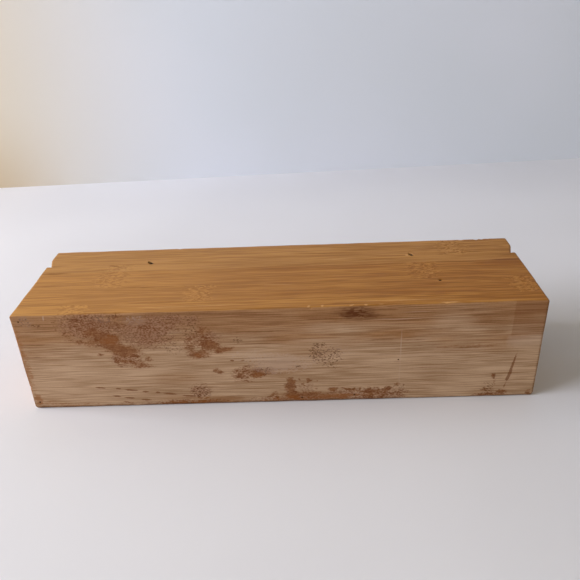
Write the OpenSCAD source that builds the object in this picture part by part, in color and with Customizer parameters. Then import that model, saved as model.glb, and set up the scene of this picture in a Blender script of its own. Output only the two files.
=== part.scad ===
// Magnetic knife rack: a laminated bamboo block with a row of magnets behind its upper face.
// X runs along the block, the stained front face looks towards -Y and the block rests on Z = 0.

/* [Block] */
// Length of the block, from end to end
block_length = 270; // [220:5:400]
// Depth of the block, from the front face to the back
block_depth = 75; // [68:0.5:90]
// Height of the stack of layers
block_height = 59; // [48:1:80]
// Radius of the block's outer edges and upright corners
edge_radius = 1.5; // [0.5:0.1:3]

/* [Bamboo layers] */
// Number of layers in the stack
layer_count = 8; // [6:1:8]
// Depth of the main block, where the rear board starts
main_depth = 54.5; // [52:0.5:60]
// Distance from the front face to the first seam of an even layer
even_first_seam = 9.5; // [6:0.5:14]
// Distance from the front face to the second seam of an even layer
even_second_seam = 27; // [22:0.5:27.5]
// Distance from the front face to the third seam of an even layer
even_third_seam = 46; // [45.5:0.5:50]
// Distance from the front face to the first seam of an odd layer
odd_first_seam = 18; // [14:0.5:22]
// Distance from the front face to the second seam of an odd layer
odd_second_seam = 36.5; // [32:0.5:42]

/* [End notches] */
// How far the rear board's bevel cuts into each end
notch_depth = 3; // [1:0.5:6]
// Length of the bevel, along the block's depth
notch_run = 10; // [4:0.5:12]

/* [Magnets] */
// Number of round magnets in the row
magnet_count = 8; // [4:1:8]
// Diameter of a magnet
magnet_diameter = 16; // [10:1:17]
// Thickness of a magnet
magnet_thickness = 5; // [2:0.5:5]
// Distance from the front face to the row of magnets
magnet_row = 36.5; // [36:0.25:37]
// Thickness of the steel strip that the magnets sit on
backing_thickness = 1.5; // [1:0.5:3]
// How far the steel strip runs past the last magnet
backing_overhang = 2; // [0:1:5]

/* [Brad nails] */
// Distance between the two brad nails
nail_spacing = 150; // [80:5:200]
// Distance from the front face to the nails
nail_row = 56.2; // [56.1:0.1:62]
// Diameter of a nail's shank
nail_shank = 1.6; // [1:0.1:2]
// Diameter of a nail's head
nail_head = 2.4; // [2:0.1:3]
// Length of a nail, with its head
nail_length = 20; // [12:1:20]
// How far the head is sunk below the surface
nail_sink = 1.5; // [0.5:0.5:3]
// Diameter of the torn mouth above the head
nail_mouth = 3; // [3:0.1:3.2]

/* [Hidden] */
$fn = 48;
nail_head_height = 0.8;
cut_margin = 1;
layer_height = block_height / layer_count;
nail_layers = ceil((nail_length + nail_sink) / layer_height);
magnet_pitch = block_length / (magnet_count + 1);
magnet_base = block_height - layer_height;
backing_length = (magnet_count - 1) * magnet_pitch + magnet_diameter + 2 * backing_overhang;
even_seams = [0, even_first_seam, even_second_seam, even_third_seam, main_depth, block_depth];
odd_seams = [0, odd_first_seam, odd_second_seam, main_depth, block_depth];
strip_places = ["front", "second", "third", "fourth"];
golden_bamboo = [0.74, 0.53, 0.29];
pale_bamboo = [0.70, 0.49, 0.26];
stained_bamboo = [0.60, 0.49, 0.38];
nickel = [0.78, 0.78, 0.76];
bright_steel = [0.62, 0.63, 0.65];
dark_iron = [0.16, 0.14, 0.12];

// Seams of a layer, as distances from the front face
function seams(layer) = layer % 2 == 0 ? even_seams : odd_seams;

// Number of strips in a layer, with the rear board's strip
function strip_count(layer) = len(seams(layer)) - 1;

// The rear board's strip is the last one of its layer
function place_name(layer, place) = place == strip_count(layer) - 1 ? "rear" : strip_places[place];

function strip_name(layer, place) = str("layer_", layer, "_", place_name(layer, place), "_strip");

function magnet_name(number) = str("magnet_", number);

STRIP_NODES = [
    for (layer = [1:layer_count])
        for (place = [0:strip_count(layer) - 1])
            strip_name(layer, place)
];
MAGNET_NODES = [for (number = [1:magnet_count]) magnet_name(number)];

// Moves a shape drawn from the front face backwards, so that the origin is at the middle of the base
module from_front() {
    translate([0, -block_depth / 2, 0])
        children();
}

// A rectangle from the origin, with true arcs at its corners
module rounded_rectangle(width, depth, radius) {
    translate([radius, 0])
        square([width - 2 * radius, depth]);
    translate([0, radius])
        square([width, depth - 2 * radius]);
    for (x = [radius, width - radius])
        for (y = [radius, depth - radius])
            translate([x, y])
                circle(radius);
}

// Bevel that the right-hand end of the rear board is cut back to
module notch_outline() {
    slope = notch_run / notch_depth;
    outside = block_length / 2 + cut_margin;
    polygon([
        [outside, main_depth],
        [block_length / 2 - notch_depth, main_depth],
        [outside, main_depth + slope * (notch_depth + cut_margin)]
    ]);
}

// The block seen from above
module plan_outline() {
    difference() {
        translate([-block_length / 2, 0])
            rounded_rectangle(block_length, block_depth, edge_radius);
        notch_outline();
        mirror([1, 0])
            notch_outline();
    }
}

// The whole block before it is divided into strips
module block_shape() {
    intersection() {
        linear_extrude(block_height)
            plan_outline();
        rotate([90, 0, 90])
            translate([0, 0, -block_length / 2])
                linear_extrude(block_length)
                    rounded_rectangle(block_depth, block_height, edge_radius);
    }
}

// The space of one strip, from seam to seam and from layer to layer
module strip_cell(layer, place) {
    front = seams(layer)[place];
    back = seams(layer)[place + 1];
    translate([-block_length / 2, front, (layer - 1) * layer_height])
        cube([block_length, back - front, layer_height]);
}

module magnet_shape(number) {
    x = (number - (magnet_count + 1) / 2) * magnet_pitch;
    translate([x, magnet_row, magnet_base])
        cylinder(d = magnet_diameter, h = magnet_thickness);
}

module backing_shape() {
    translate([-backing_length / 2, magnet_row - magnet_diameter / 2, magnet_base - backing_thickness])
        cube([backing_length, magnet_diameter, backing_thickness]);
}

module nail_shape(side) {
    translate([side * nail_spacing / 2, nail_row, block_height - nail_sink - nail_length]) {
        cylinder(d = nail_shank, h = nail_length);
        translate([0, 0, nail_length - nail_head_height])
            cylinder(d = nail_head, h = nail_head_height);
    }
}

// Open mouth between a sunk nail head and the surface
module nail_mouth_shape(side) {
    translate([side * nail_spacing / 2, nail_row, block_height - nail_sink])
        cylinder(d = nail_mouth, h = nail_sink + cut_margin);
}

// Everything that is cut out of the upper layers
module pockets() {
    for (number = [1:magnet_count])
        magnet_shape(number);
    backing_shape();
    for (side = [-1, 1]) {
        nail_shape(side);
        nail_mouth_shape(side);
    }
}

module strip(layer, place) {
    tone = place == 0 ? stained_bamboo : layer % 2 == 0 ? golden_bamboo : pale_bamboo;
    color(tone)
        from_front()
            difference() {
                intersection() {
                    block_shape();
                    strip_cell(layer, place);
                }
                if (layer > layer_count - nail_layers)
                    pockets();
            }
}

module magnet(number) {
    color(nickel)
        from_front()
            magnet_shape(number);
}

module backing_strip() {
    color(bright_steel)
        from_front()
            backing_shape();
}

module brad_nails() {
    color(dark_iron)
        from_front()
            for (side = [-1, 1])
                nail_shape(side);
}

for (layer = [1:layer_count])
    for (place = [0:strip_count(layer) - 1])
        strip(layer, place);
for (number = [1:magnet_count])
    magnet(number);
backing_strip();
brad_nails();
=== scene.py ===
"""Looks of the magnetic knife rack: worn carbonised bamboo strips, glued into one block, around its magnets.

Sizes are in millimetres in the block's own terms: x along the block from its middle, t from the stained
front face towards the back, and h above the face that it rests on.
"""
import math

import bpy
import numpy as np
from mathutils import Matrix, Vector, noise


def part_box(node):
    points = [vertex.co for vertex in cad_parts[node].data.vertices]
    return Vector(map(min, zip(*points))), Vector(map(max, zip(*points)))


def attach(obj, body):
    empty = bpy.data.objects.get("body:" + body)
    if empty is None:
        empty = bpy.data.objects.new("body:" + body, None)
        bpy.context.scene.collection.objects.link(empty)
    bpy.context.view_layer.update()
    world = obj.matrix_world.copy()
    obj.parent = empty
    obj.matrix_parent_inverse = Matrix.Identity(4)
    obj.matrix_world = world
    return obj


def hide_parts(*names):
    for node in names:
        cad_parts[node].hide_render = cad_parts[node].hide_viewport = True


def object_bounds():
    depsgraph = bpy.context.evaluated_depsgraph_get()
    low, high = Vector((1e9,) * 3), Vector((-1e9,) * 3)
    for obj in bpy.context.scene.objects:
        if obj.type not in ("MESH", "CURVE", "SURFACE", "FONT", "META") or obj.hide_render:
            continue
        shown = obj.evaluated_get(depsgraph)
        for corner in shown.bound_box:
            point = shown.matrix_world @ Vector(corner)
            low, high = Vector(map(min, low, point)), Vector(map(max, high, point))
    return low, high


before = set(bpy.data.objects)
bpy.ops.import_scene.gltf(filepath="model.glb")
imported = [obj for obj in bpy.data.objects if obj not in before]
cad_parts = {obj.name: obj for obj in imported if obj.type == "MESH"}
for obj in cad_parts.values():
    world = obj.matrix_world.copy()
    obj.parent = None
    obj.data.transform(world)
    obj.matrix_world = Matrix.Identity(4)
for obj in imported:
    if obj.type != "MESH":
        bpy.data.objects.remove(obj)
cad_low, cad_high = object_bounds()

# Sizes
MM = 0.001
LENGTH, DEPTH, HEIGHT = ((high - low) / MM for low, high in zip(cad_low, cad_high))
HALF = LENGTH / 2
MAIN_DEPTH = (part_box("layer_1_rear_strip")[0].y - cad_low.y) / MM
NOTCH_DEPTH = 3.0
NOTCH_RUN = 10.0
NOTCH_BEND = 9.0
EDGE_RADIUS = 1.3
EDGE_WEAR = 0.35
WEAR_REACH = 11.0
SURFACE_STEP = 2.5
HIDDEN_STEP = 30.0
ROUNDING_STEPS = 4
GRADING = 0.35
SHARP_ANGLE = math.radians(38)


# Geometry of the strips

class Strip:
    """One glued bamboo strip, with its place in the block in millimetres."""

    def __init__(self, node):
        low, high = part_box(node)
        self.node = node
        self.name = node.replace("_strip", "_bamboo")
        self.layer = int(node.split("_")[1])
        self.place = node.split("_")[2]
        self.t = [(y - cad_low.y) / MM for y in (low.y, high.y)]
        self.h = [(z - cad_low.z) / MM for z in (low.z, high.z)]
        self.is_rear = self.place == "rear"
        self.is_top = self.h[1] > HEIGHT - EDGE_RADIUS
        self.is_base = self.h[0] < EDGE_RADIUS
        self.is_front = self.t[0] < EDGE_RADIUS
        self.is_shown = self.is_rear or self.is_top or self.is_base or self.is_front


# Chips and dents on the edges: x, t, h, reach and depth
CHIPS = [
    (117, DEPTH, HEIGHT, 2, 1),
    (120.3, DEPTH, HEIGHT, 1.6, 0.9),
    (124, DEPTH, HEIGHT, 1.1, 0.8),
    (108, DEPTH, HEIGHT, 2.2, 0.35),
    (-80.5, 0, HEIGHT, 1, 0.7),
    (-96, 0, HEIGHT, 1.2, 0.3),
    (17, 0, HEIGHT, 1.3, 0.4),
    (22.5, 0, HEIGHT, 0.9, 0.4),
    (84.5, 0, HEIGHT, 2.6, 0.25),
    (135, 0, 33.5, 1.1, 0.5),
    (135, 0, 30, 1.3, 0.6),
    (135, 0, 23.5, 1, 0.4),
    (-135, 0, 47.5, 1.2, 0.4),
    (-135, 0, 14, 1.6, 0.4),
    (-135, 0, 0, 1.8, 0.5),
    (135, 0, 0, 2, 0.7),
    (-60, DEPTH, HEIGHT, 2, 0.3),
    (30, DEPTH, 0, 1.8, 0.5),
    (-104, DEPTH, 0, 1.5, 0.5),
    (135, 20, HEIGHT, 1.5, 0.3),
    (-135, 38, HEIGHT, 1.3, 0.3),
    (HALF - NOTCH_DEPTH, MAIN_DEPTH + 0.8, HEIGHT, 1.2, 0.5),
    (NOTCH_DEPTH - HALF, MAIN_DEPTH + 0.8, HEIGHT, 1.0, 0.4),
]
CHIP_LINES = 4
CHIP_ROUGHNESS = 0.5
CHIP_GRAIN = 0.7

# Torn mouths over the two sunk nails
nail_low, nail_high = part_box("brad_nails")
NAIL_HEAD_RADIUS = 1.2
NAIL_X = nail_high.x / MM - NAIL_HEAD_RADIUS
NAIL_T = ((nail_low.y + nail_high.y) / 2 - cad_low.y) / MM
NAIL_TOP = nail_high.z / MM
MOUTH_LONG = 2.4
MOUTH_WIDE = 1.1
MOUTH_SHIFT = 0.6
MOUTH_DEPTH = HEIGHT - NAIL_TOP + 0.15
MOUTH_TURNS = {-1: math.radians(-47), 1: math.radians(-58)}
MOUTH_LINE = 0.22
MOUTH_LIP = 0.12
MOUTH_GRAIN = 0.8
MOUTH_RAGGED = 0.3

# Small pits in flat faces: x, t, h, radius and depth
PITS = [
    (85.9, 24.5, HEIGHT, 1.15, 0.9),
    (61.8, 0, 26, 0.3, 0.35),
    (-130.7, 0, 55.6, 0.35, 0.35),
    (-131.5, 0, 4.4, 0.4, 0.35),
    (39.2, 0, 3.8, 0.4, 0.35),
    (11.1, 0, 2.9, 0.4, 0.35),
]
PIT_LINES = 3


def graded_lines(low, high, step, spots):
    """Positions from low to high, step apart and closer near each spot: its centre, reach and pace."""
    lines = [low]
    while lines[-1] < high:
        pace = step
        for centre, reach, fine in spots:
            away = max(0.0, abs(lines[-1] - centre) - reach)
            pace = min(pace, fine + away * GRADING)
        lines.append(lines[-1] + pace)
    lines = np.array(lines)
    return low + (lines - low) * (high - low) / (lines[-1] - low)


def spots_on(strip):
    """Where a shown strip's grid is fine, for x, t and h."""
    rounding = EDGE_RADIUS / ROUNDING_STEPS
    x_spots = [(-HALF, EDGE_RADIUS, rounding), (HALF, EDGE_RADIUS, rounding)]
    t_spots = [(0, EDGE_RADIUS, rounding)] if strip.is_front else []
    t_spots += [(DEPTH, EDGE_RADIUS, rounding)] if strip.is_rear else []
    h_spots = [(0, EDGE_RADIUS, rounding)] if strip.is_base else []
    h_spots += [(HEIGHT, EDGE_RADIUS, rounding)] if strip.is_top else []
    if strip.is_rear:
        x_spots += [(side * (HALF - NOTCH_DEPTH), NOTCH_DEPTH, 1.0) for side in (-1, 1)]
        t_spots.append((MAIN_DEPTH, 1.0, 0.5))
    marks = [(x, t, h, reach, reach / CHIP_LINES) for x, t, h, reach, depth in CHIPS]
    marks += [(x, t, h, radius * 1.5, radius / PIT_LINES) for x, t, h, radius, depth in PITS]
    if strip.is_rear and strip.is_top:
        marks += [(side * NAIL_X, NAIL_T, HEIGHT, MOUTH_LONG + 0.5, MOUTH_LINE) for side in (-1, 1)]
    for x, t, h, reach, fine in marks:
        near_t = strip.t[0] - reach < t < strip.t[1] + reach
        near_h = strip.h[0] - reach < h < strip.h[1] + reach
        if near_t and near_h:
            x_spots.append((x, reach, fine))
            if 0 < t < DEPTH:
                t_spots.append((t, reach, fine))
            if 0 < h < HEIGHT:
                h_spots.append((h, reach, fine))
    return x_spots, t_spots, h_spots


def grid_box(xs, ts, hs):
    """Corners and four-sided faces of a closed box whose six sides are divided along these lines."""
    sizes = (len(xs), len(ts), len(hs))
    number, points, faces = {}, [], []

    def corner(place):
        if place not in number:
            number[place] = len(points)
            points.append((xs[place[0]], ts[place[1]], hs[place[2]]))
        return number[place]

    for axis in range(3):
        across, along = (n for n in range(3) if n != axis)
        for is_high in (False, True):
            place = [0, 0, 0]
            place[axis] = sizes[axis] - 1 if is_high else 0
            for u in range(sizes[across] - 1):
                for v in range(sizes[along] - 1):
                    face = []
                    for step_u, step_v in ((0, 0), (1, 0), (1, 1), (0, 1)):
                        place[across], place[along] = u + step_u, v + step_v
                        face.append(corner(tuple(place)))
                    outward = is_high == (axis != 1)
                    faces.append(face if outward else face[::-1])
    return np.array(points), faces


def wobble(points, reach):
    """A smooth value from -1 to 1 that changes over about this many millimetres."""
    return np.array([noise.noise(Vector(p) / reach) for p in points])


def rounded(points):
    """Rounds the block's outer edges and corners, more in some places than in others."""
    radius = (EDGE_RADIUS * (1 + EDGE_WEAR * wobble(points, WEAR_REACH)))[:, None]
    low = np.array([-HALF, 0, 0]) + radius
    high = np.array([HALF, DEPTH, HEIGHT]) - radius
    core = np.clip(points, low, high)
    away = points - core
    length = np.linalg.norm(away, axis=1)
    reach = np.abs(away).max(axis=1)
    return core + away * (reach / np.maximum(length, 1e-9))[:, None]


def bevelled(points):
    """Cuts the rear board's ends back to the square shoulder of the main block, which leaves the notch."""
    behind = points[:, 1] - MAIN_DEPTH
    cut = NOTCH_DEPTH * np.clip(1 - behind / NOTCH_RUN, 0, 1)
    share = np.clip((np.abs(points[:, 0]) - (HALF - NOTCH_BEND)) / NOTCH_BEND, 0, 1)
    points[:, 0] -= np.sign(points[:, 0]) * cut * share
    return points


def falloff(distance):
    """1 at the middle of a mark and 0 past its edge."""
    return np.clip(1 - distance**2, 0, 1) ** 2


def chipped(points):
    """Knocks small chips out of the edges, each towards the middle of the block."""
    middle = np.array([0, DEPTH / 2, HEIGHT / 2])
    size = np.array([HALF, DEPTH / 2, HEIGHT / 2])
    for x, t, h, reach, depth in CHIPS:
        centre = np.array([x, t, h])
        edge = np.abs(centre - middle) > size - 2 * NOTCH_DEPTH
        inward = -np.sign(centre - middle) * edge
        inward /= np.linalg.norm(inward)
        distance = np.linalg.norm(points - centre, axis=1) / reach
        near = distance < 1
        if near.any():
            rough = 1 + CHIP_ROUGHNESS * wobble(points[near], CHIP_GRAIN)
            points[near] += inward * (depth * falloff(distance[near]) * rough)[:, None]
    return points


def pitted(points):
    """Sinks the small pits into the faces that they are in."""
    for x, t, h, radius, depth in PITS:
        distance = np.linalg.norm(points - np.array([x, t, h]), axis=1) / radius
        drop = depth * falloff(distance)
        if h == HEIGHT:
            points[:, 2] -= drop
        else:
            points[:, 1] += drop
    return points


def torn(points, strip):
    """Opens the ragged, slanting mouth over each nail, down to just below its head, and lifts its lip."""
    for side, turn in MOUTH_TURNS.items():
        x, t = points[:, 0] - side * NAIL_X - MOUTH_SHIFT, points[:, 1] - NAIL_T
        along = x * math.cos(turn) + t * math.sin(turn)
        across = t * math.cos(turn) - x * math.sin(turn)
        distance = np.hypot(along / MOUTH_LONG, across / MOUTH_WIDE)
        near = (distance < 2) & (points[:, 2] > HEIGHT - MM) & (points[:, 1] > strip.t[0] + MM)
        if near.any():
            ragged = distance[near] + MOUTH_RAGGED * wobble(points[near] + side, MOUTH_GRAIN)
            inside = np.clip((1.05 - ragged) / 0.3, 0, 1)
            lip = falloff((ragged - 1.15) / 0.45)
            points[near, 2] += MOUTH_LIP * lip * (1 - inside) - MOUTH_DEPTH * inside
    return points


def mesh_object(name, points, faces):
    """An object made from corners in the block's millimetres and their faces. It rides on the root body."""
    mesh = bpy.data.meshes.new(name)
    origin = np.array([0, cad_low.y, cad_low.z])
    mesh.from_pydata((points * MM + origin).tolist(), [], [list(face) for face in faces])
    mesh.polygons.foreach_set("use_smooth", [True] * len(mesh.polygons))
    mesh.set_sharp_from_angle(angle=SHARP_ANGLE)
    made = bpy.data.objects.new(name, mesh)
    bpy.context.scene.collection.objects.link(made)
    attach(made, "root")
    return made


def build_strip(strip):
    """The strip's own closed mesh, with its share of the block's worn edges, notches, holes and chips."""
    if strip.is_shown:
        x_spots, t_spots, h_spots = spots_on(strip)
        step = SURFACE_STEP
    else:
        x_spots, t_spots, h_spots = [(-HALF, 0, 1.0), (HALF, 0, 1.0)], [], []
        step = HIDDEN_STEP
    xs = graded_lines(-HALF, HALF, step, x_spots)
    ts = graded_lines(*strip.t, SURFACE_STEP, t_spots)
    hs = graded_lines(*strip.h, SURFACE_STEP, h_spots)
    points, faces = grid_box(xs, ts, hs)
    if strip.is_rear and strip.is_top:
        points = torn(points, strip)
    points = pitted(points)
    if strip.is_shown:
        points = rounded(points)
    if strip.is_rear:
        points = bevelled(points)
    points = chipped(points)
    made = mesh_object(strip.name, points, faces)
    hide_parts(strip.node)
    return made


def lathe(outline, turns, centre):
    """A closed turned piece about an upright axis: outline runs from its lower to its upper pole."""
    x, t = centre
    points = [(x, t, outline[0][1])]
    faces = []
    rings = outline[1:-1]
    for radius, height in rings:
        for n in range(turns):
            angle = 2 * math.pi * n / turns
            points.append((x + radius * math.cos(angle), t + radius * math.sin(angle), height))
    points.append((x, t, outline[-1][1]))
    for n in range(turns):
        after = (n + 1) % turns
        faces.append([0, 1 + after, 1 + n])
        for ring in range(len(rings) - 1):
            low, high = 1 + ring * turns, 1 + (ring + 1) * turns
            faces.append([low + n, low + after, high + after, high + n])
        last = 1 + (len(rings) - 1) * turns
        faces.append([last + n, last + after, len(points) - 1])
    return np.array(points), faces


# Node helpers

# How far each noise is moved along x, t and h for each 1 in its seed
SEED_SHIFTS = (3.7, 5.3, 7.1)
# Where a mark is gone and where it is full, as shares of its half sizes
MARK_EDGE = (1.35, 0.3)


class Value:
    """A shader output that can be used in sums."""

    def __init__(self, tree, socket):
        self.tree = tree
        self.socket = socket

    def __add__(self, other):
        return self.tree.math("ADD", self, other)

    def __sub__(self, other):
        return self.tree.math("SUBTRACT", self, other)

    def __rsub__(self, other):
        return self.tree.math("SUBTRACT", other, self)

    def __mul__(self, other):
        return self.tree.math("MULTIPLY", self, other)

    __radd__ = __add__
    __rmul__ = __mul__


class Tree:
    """The nodes of a new material or world, with its shader."""

    def __init__(self, owner, shader="Principled BSDF"):
        self.owner = owner
        self.owner.use_nodes = True
        self.nodes = owner.node_tree.nodes
        self.links = owner.node_tree.links
        self.shader = self.nodes[shader]

    def feed(self, socket, value):
        if isinstance(value, Value):
            self.links.new(value.socket, socket)
        else:
            socket.default_value = value

    def node(self, kind, inputs, output=0, **settings):
        made = self.nodes.new("ShaderNode" + kind)
        for name, value in settings.items():
            setattr(made, name, value)
        for socket, value in inputs.items():
            self.feed(made.inputs[socket], value)
        return Value(self, made.outputs[output])

    def math(self, operation, first, second=0.0):
        return self.node("Math", {0: first, 1: second}, operation=operation)

    def ramp(self, value, low, high, start=0.0, end=1.0):
        """Goes smoothly from start to end as value goes from low to high, even where low is the greater."""
        inputs = {"Value": value, "From Min": low, "From Max": high, "To Min": start, "To Max": end}
        if low > high:
            inputs.update({"From Min": high, "From Max": low, "To Min": end, "To Max": start})
        return self.node("MapRange", inputs, interpolation_type="SMOOTHSTEP")

    def mix(self, start, end, share):
        inputs = {0: share, 6: start, 7: end}
        return self.node("Mix", inputs, output=2, data_type="RGBA", clamp_factor=True)

    def blend(self, start, end, share):
        inputs = {0: share, 2: start, 3: end}
        return self.node("Mix", inputs, output=0, data_type="FLOAT", clamp_factor=True)

    def noise(self, place, grain, seed=0.0, detail=2.0, roughness=0.5):
        """Noise from about 0.3 to 0.7 whose grains have this size, in millimetres along x, t and h."""
        moved = self.moved(place, grain, seed)
        inputs = {"Vector": moved, "Scale": 1.0, "Detail": detail, "Roughness": roughness}
        return self.node("TexNoise", inputs)

    def dots(self, place, grain, seed=0.0):
        """Distance from the nearest of many scattered points, as a share of their spacing."""
        return self.node("TexVoronoi", {"Vector": self.moved(place, grain, seed), "Scale": 1.0})

    def moved(self, place, grain, seed):
        """The place counted in grains of this size, and moved by its seed."""
        inputs = {"Vector": place, "Location": [seed * shift for shift in SEED_SHIFTS]}
        inputs["Scale"] = [1 / size for size in grain]
        return self.node("Mapping", inputs)

    def place(self):
        """The object's own x, t and h in millimetres, which are the block's on every piece of it."""
        here = self.node("TexCoord", {}, output="Object")
        inputs = {"Vector": here, "Scale": (1 / MM,) * 3}
        inputs["Location"] = (0.0, -cad_low.y / MM, -cad_low.z / MM)
        return self.node("Mapping", inputs)

    def split(self, vector):
        parts = self.node("SeparateXYZ", {0: vector}).socket.node
        return [Value(self, output) for output in parts.outputs]

    def join(self, x, y, z):
        return self.node("CombineXYZ", {0: x, 1: y, 2: z})

    def marks(self, plane, marks):
        """The sum of soft-edged ovals: middle, half sizes, strength, and any turn in degrees."""
        total = 0.0
        for x, y, wide, high, strength, *turn in marks:
            inputs = {"Vector": plane, "Location": (x, y, 0), "Scale": (wide, high, 1)}
            inputs["Rotation"] = (0, 0, math.radians(sum(turn)))
            local = self.node("Mapping", inputs, vector_type="TEXTURE")
            away = self.node("VectorMath", {0: local}, output="Value", operation="LENGTH")
            total = self.ramp(away, *MARK_EDGE, 0.0, strength) + total
        return total

    def finish(self, colour, roughness, relief=None, depth=0.0):
        self.feed(self.shader.inputs["Base Color"], colour)
        self.feed(self.shader.inputs["Roughness"], roughness)
        if relief is not None:
            inputs = {"Height": relief, "Distance": depth * MM, "Strength": 1.0}
            self.feed(self.shader.inputs["Normal"], self.node("Bump", inputs))
        return self.owner


def rgb(red, green, blue):
    """A colour for a shader, from its usual screen values."""
    return tuple((value / 255) ** 2.2 for value in (red, green, blue)) + (1.0,)


# Bamboo

GOLDEN_DARK = rgb(133, 83, 31)
GOLDEN_LIGHT = rgb(173, 121, 60)
YELLOW_DARK = rgb(135, 85, 30)
YELLOW_LIGHT = rgb(178, 126, 62)
# Paler, greyer colours of the fourth and rear top strips: painted sheen towards the rear of the top
REAR_SHEEN_DARK = rgb(134, 87, 37)
REAR_SHEEN_LIGHT = rgb(173, 125, 69)
STREAK_BROWN = rgb(118, 70, 30)
PALE_FIBRE = rgb(204, 158, 106)
GLUE_BROWN = rgb(92, 56, 27)
END_PITH = rgb(176, 130, 82)
END_RIND = rgb(134, 88, 48)
END_DOT = rgb(92, 56, 28)
HOLE_SHADE_BROWN = rgb(44, 24, 10)
# Painted shade along the rounded outer edges
RIM_SHADE_BROWN = rgb(112, 74, 38)

PALETTES = {
    "front": (YELLOW_DARK, YELLOW_LIGHT),
    # The fourth and rear top strips take the painted sheen colours
    "fourth": (REAR_SHEEN_DARK, REAR_SHEEN_LIGHT),
    "rear": (REAR_SHEEN_DARK, REAR_SHEEN_LIGHT),
}

# Middles of the knuckles along each strip that shows, by layer and place
KNUCKLES = {
    (8, "front"): (-104.0,),
    (8, "second"): (-41.0, 129.0),
    (8, "third"): (-92.6, 79.7),
    (8, "fourth"): (-91.0,),
    (8, "rear"): (100.4,),
    (7, "rear"): (-62.0,),
    (6, "rear"): (18.0,),
    (5, "rear"): (96.0,),
    (4, "rear"): (-101.0,),
    (3, "rear"): (-21.0,),
    (2, "rear"): (57.0,),
    (1, "rear"): (-78.0, 121.0),
    (1, "second"): (-24.0,),
    (1, "third"): (-115.0, 88.0),
}
KNUCKLE_HALF = 8.5
LAYER_CONTRAST = 0.2
# How much paler the top is painted at its left end: painted sheen, nearest the light on the left
LEFT_SHEEN_PAINT = 0.22
TOP_DARK_COVER = 0.62
TOP_PALE_COVER = 0.5
RIM_SHADE_COVER = 0.6
END_COVER = 0.95
GLUE_HALF_WIDTH = (0.26, 0.06)
GOLDEN_ROUGHNESS = (0.5, 0.62)
HIDDEN_ROUGHNESS = 0.7
# Depth of the grain's relief in millimetres, and the shader's specular level
GRAIN_DEPTH = 0.12
SHEEN = 0.2

# Grains of the growth pattern, in millimetres along x, t and h
SWIRL_GRAIN = (8.0, 5.0, 5.0)
DRIFT_GRAIN = (55.0, 12.0, 12.0)
STREAK_GRAIN = (42.0, 0.7, 0.7)
FIBRE_GRAIN = (24.0, 0.5, 0.5)
VEIN_GRAIN = (70.0, 0.55, 0.55)
BAND_GRAIN = (85.0, 3.8, 3.8)
MOTTLE_GRAIN = (3.2, 1.0, 1.0)
RAGGED_GRAIN = (5.0, 2.6, 2.6)
GLUE_GRAIN = (22.0, 30.0, 30.0)
END_GRAIN = (9.0, 0.85, 0.7)
END_CLOUD_GRAIN = (9.0, 5.0, 1.6)
FRAY_GRAIN = (6.0, 0.8, 0.8)

# How far knuckles and slow drift bend the grain, and how ragged a knuckle's edge is, in millimetres
SWIRL_BEND = 13.0
DRIFT_BEND = 2.2
CURL = 9.0
KNUCKLE_RAGGED = 17.0
FRAY = 1.4

# Each strip's seed, from its layer and its place in the layer
PLACES = ("front", "second", "third", "fourth", "rear")
LAYER_SEED = 2.3
PLACE_SEED = 9.7

# Tones of the top strips, and how much darker each is at its right end than at its left: painted shade,
# further from the light on the left
TONES = {"front": 0.04, "second": -0.03, "third": 0.0, "fourth": 0.12, "rear": 0.1}
RIGHT_SHADE_SLOPES = {"front": 0.5, "second": 0.3, "third": 0.3, "fourth": 0.25, "rear": 0.1}

# Dark and pale lines along the top: middle x and t, half sizes, strength, and any turn in degrees
TOP_DARK = [
    (-88, 0.8, 15, 0.7, 0.9),
    # The next two lines, near both ends, are painted shade along the notches
    (-127.5, 46, 9, 0.75, 1.5),
    (128, 46.2, 9.5, 0.95, 2.2),
    (-126, 31.2, 8, 0.5, 0.8),
    (-70, 26.4, 16, 0.5, 0.9, -1),
    (28, 61.6, 22, 0.55, 0.9, -1),
    (0, 44, 22, 0.6, 0.5),
    (-60, 10.2, 26, 0.5, 0.7),
    (118, 36.5, 17, 0.7, 0.7),
    (24, 20.5, 12, 0.4, 0.7),
    (-94, 53, 5, 0.8, 0.8, -16),
    (-99, 49, 7, 0.7, 0.6, 4),
    (93, 55.6, 3, 0.6, 0.9, 8),
    (36, 2.6, 12, 0.5, 0.9),
]
TOP_PALE = [
    (-40, 5, 30, 0.5, 0.7),
    (-75, 8.2, 12, 0.45, 0.5),
    (60, 4.6, 32, 0.45, 0.9),
    (-60, 4.2, 12, 0.4, 0.7, -3),
    (0, 25, 10, 0.4, 0.5),
    (-68, 58.2, 9, 1.8, 0.35),
    (73.2, 55.6, 1, 0.8, 1.6, -15),
    (86, 1.3, 4.5, 0.4, 1.8),
    (16, 1.2, 1, 0.7, 1.6, 60),
    (22.8, 1.4, 0.8, 0.7, 1.4, 60),
    (37.5, 1.3, 1.6, 0.4, 1.2, 20),
    (44.5, 1.2, 0.9, 0.6, 1.4),
    (52, 1.3, 1.4, 0.4, 1),
    (34, 53.5, 10, 0.7, 0.7, 2),
]
# Painted shade in the torn mouths over the nails and in the big pit on the top
HOLE_SHADE_SPOTS = [(side * NAIL_X, NAIL_T, MOUTH_LONG + 0.9, MOUTH_WIDE + 0.9, 1.5) for side in (-1, 1)]
HOLE_SHADE_SPOTS.append((85.9, 24.5, 1.8, 1.8, 2.0))


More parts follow.
